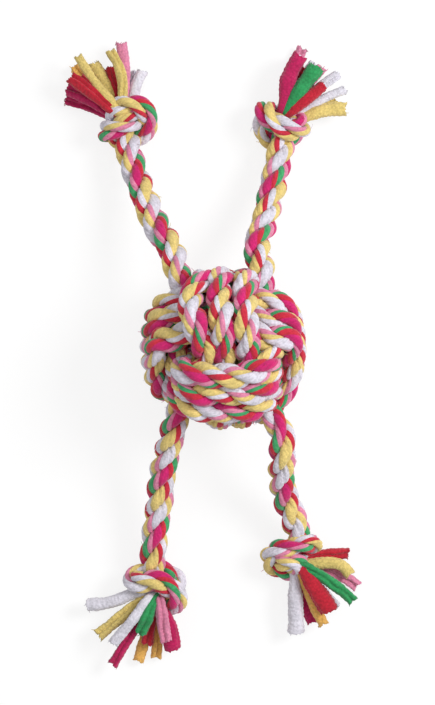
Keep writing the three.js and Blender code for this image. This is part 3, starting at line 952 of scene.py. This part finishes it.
# Tassels, in millimetres. The strips leave the knot's outside in three layers.
KNOT_LENGTH, KNOT_WIDTH, KNOT_TALL = 24, 30, 26
LONGEST_REACH = 45
LAYER_HEIGHTS = (3.7, 10.4, 17.8)
LAYER_ROOT_DEGREES = (-30, 4, 37)
# A strip starts inside its knot, comes out of it at its root, and bows a little on its way
START_AWAY, START_OUT, INSIDE_SHARE = 2, 3, 0.72
BOW_PLACES, BOW_LIFTS, BOW_SHARE, BOW_UNEVEN = (0.33, 0.67), (0.6, 0.3), 0.88, 0.4
STRIP_ROOT_WIDTH = 5.2
STRIP_FLATNESS = 0.84
STRIP_SIDES, STRIP_GIRTH = 40, 20
STRIP_STEP = 0.55
# It is as wide as in the rope at its root and swells to its full width further on
SWELL_RATE, SWELL_FROM = 2.4, 0.4
# Unevenness of width, flatness and slit, each with the length of its longest wave
WIDTH_UNEVEN, FLAT_UNEVEN, SLIT_UNEVEN = (0.10, 20), (0.12, 26), (0.5, 45)
# Round a strip, in radians, with depths as shares of its half width: the slit where the rolled
# edges meet, deeper and wider near the end, the lips beside it, and a fold at each side
SLIT_DEPTH, SLIT_WIDTH, OPEN_LENGTH, OPEN_DEEPER, OPEN_WIDER = 0.50, 0.21, 8, 0.22, 0.20
LIP_HEIGHT, LIP_ANGLE, LIP_WIDTH = 0.13, 0.58, 0.26
FOLD_DEPTH, FOLD_ANGLE, FOLD_WIDTH = 0.10, 1.9, 0.16
# Fine creases across it
CREASE_DEPTH, CREASE_LENGTH, CREASE_DRIFT = 0.035, 2.3, 3
# The cut end: how ragged its last rings are, and how deep it is open and how thick its jersey
RAGGED, RAGGED_SHARES = 0.5, (1.0, 0.6, 0.25)
OPEN_DEPTH, JERSEY_THICKNESS, WALL_STEP = 6, 0.85, 0.5
THREADS, THREAD_RADIUS, THREAD_INSIDE = 6, 0.22, 0.4
THREAD_LENGTHS, THREAD_LEAN, THREAD_CURL = (0.8, 2.2), 0.35, 0.45


def jersey_strip(name, points, tip_width, slit, seed, colour):
    """A rolled strip of jersey: a flattened tube with a slit along it and an open, ragged end."""
    rng = np.random.default_rng(seed)
    path = spaced(smooth_path(points), STRIP_STEP)
    at = along(path)
    share = at / at[-1]
    tangent = unit(np.gradient(path, axis=0))
    side = unit(np.cross(tangent, Z))
    up = np.cross(side, tangent)
    beta = 2 * np.pi * np.arange(STRIP_SIDES) / STRIP_SIDES
    swell = np.clip(share * SWELL_RATE - SWELL_FROM, 0, 1)
    width = STRIP_ROOT_WIDTH + (tip_width - STRIP_ROOT_WIDTH) * swell * swell * (3 - 2 * swell)
    width = width * (1 + wobble(at, seed, *WIDTH_UNEVEN))
    flat = STRIP_FLATNESS * (1 + wobble(at, seed + 2, *FLAT_UNEVEN))
    slit_angle = math.radians(slit) + wobble(at, seed + 4, *SLIT_UNEVEN)
    apart = (beta[None, :] - slit_angle[:, None] + np.pi) % (2 * np.pi) - np.pi
    opening = np.clip((at - (at[-1] - OPEN_LENGTH)) / OPEN_LENGTH, 0, 1)[:, None]
    gap = np.exp(-((apart / (SLIT_WIDTH + OPEN_WIDER * opening)) ** 2))
    groove = (SLIT_DEPTH + OPEN_DEEPER * opening) * gap
    lips = LIP_HEIGHT * np.exp(-(((np.abs(apart) - LIP_ANGLE) / LIP_WIDTH) ** 2))
    fold = FOLD_DEPTH * np.exp(-(((np.abs(apart) - FOLD_ANGLE) / FOLD_WIDTH) ** 2))
    crease = np.sin(2 * np.pi * at / CREASE_LENGTH + 2 * np.sin(at / CREASE_DRIFT))
    creases = CREASE_DEPTH * crease[:, None] * np.cos(2 * apart)
    radius = 1 - groove + lips - fold + creases
    across = (0.5 * width)[:, None] * radius * np.sin(beta)[None, :]
    rise = (0.5 * width * flat)[:, None] * radius * np.cos(beta)[None, :]
    outer = (
        path[:, None, :] + across[..., None] * side[:, None, :] + rise[..., None] * up[:, None, :]
    )
    ragged = rng.uniform(-RAGGED, RAGGED, STRIP_SIDES)
    ragged += RAGGED * np.sin(2 * beta + rng.uniform(0, 6))
    for back, part in enumerate(RAGGED_SHARES):
        outer[-1 - back] += (part * ragged)[:, None] * tangent[-1 - back]

    # The end is hollow: its wall turns in and goes back inside
    deep = int(OPEN_DEPTH / (at[1] - at[0]))
    tip = slice(len(path) - deep, len(path))
    middle = outer[tip].mean(1, keepdims=True)
    inner = outer[tip] + (middle - outer[tip]) * (2 * JERSEY_THICKNESS / width[tip])[:, None, None]
    rings = np.concatenate([outer, inner[::-1]])
    solid = rings.reshape(-1, 3)
    far = np.concatenate([at, at[-1] + WALL_STEP * np.arange(1, deep + 1)])
    rim = rng.choice(STRIP_SIDES, THREADS, replace=False)
    roots = outer[-1][rim] - tangent[-1] * THREAD_INSIDE
    headings = unit(tangent[-1] + rng.normal(0, THREAD_LEAN, (THREADS, 3)))
    lengths = rng.uniform(*THREAD_LENGTHS, THREADS)
    curls = rng.normal(0, THREAD_CURL, (THREADS, 3))
    loose, loose_faces = threads(roots, headings, lengths, curls, THREAD_RADIUS, len(solid))
    faces = np.concatenate([tube_faces(len(rings), STRIP_SIDES), loose_faces])
    uvs = [tube_uvs(far, STRIP_GIRTH, STRIP_SIDES), np.zeros((4 * len(loose_faces), 2))]
    return make_mesh(
        name,
        grounded(np.concatenate([solid, loose])) * MM,
        faces,
        np.concatenate(uvs),
        np.zeros(len(faces)),
        [LOOSE_JERSEY[colour]],
    )


def make_tassel(name, leg):
    """The leg's loose strips, each from its knot to its tip in the photo."""
    ankle, knot = place(leg["ankle"]), place(leg["knot"])
    away = unit((knot - ankle) * [1, 1, 0])
    beside = np.array([-away[1], away[0], 0])
    pieces = []
    for i, (degrees, share, layer, colour, bow, width, slit) in enumerate(leg["strips"]):
        flat = np.array([math.cos(math.radians(degrees)), math.sin(math.radians(degrees)), 0])
        rise = math.radians(LAYER_ROOT_DEGREES[layer])
        leave = flat * math.cos(rise) + Z * math.sin(rise)
        reach = (
            leave.dot(away) / (KNOT_LENGTH / 2),
            leave.dot(beside) / (KNOT_WIDTH / 2),
            leave[2] / (KNOT_TALL / 2),
        )
        root = knot + leave / math.sqrt(sum(v * v for v in reach))
        tip = knot + flat * LONGEST_REACH * share
        tip[2] = LAYER_HEIGHTS[layer]
        seed = 100 * (list(LEGS).index(name) + 1) + i
        rng = np.random.default_rng(seed)
        bow += rng.uniform(-BOW_UNEVEN, BOW_UNEVEN)
        bowed = np.array([-flat[1], flat[0], 0]) * bow * BOW_SHARE
        points = [
            knot + away * START_AWAY + leave * START_OUT,
            knot + INSIDE_SHARE * (root - knot),
            *(
                root + (tip - root) * on_way + bowed + Z * lift
                for on_way, lift in zip(BOW_PLACES, BOW_LIFTS)
            ),
            tip,
        ]
        piece = jersey_strip(f"{name}_jersey_{i + 1:02d}", points, width, slit, seed, colour)
        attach(piece, name + "_tassel")
        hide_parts(f"{name}_strip_{i + 1:02d}_{colour}")
        pieces.append(piece)
    return pieces


make_camera()
make_stage()
legs = {name: make_leg(name, leg) for name, leg in LEGS.items()}
make_ball()
make_heart()
tassels = {name: make_tassel(name, leg) for name, leg in LEGS.items()}
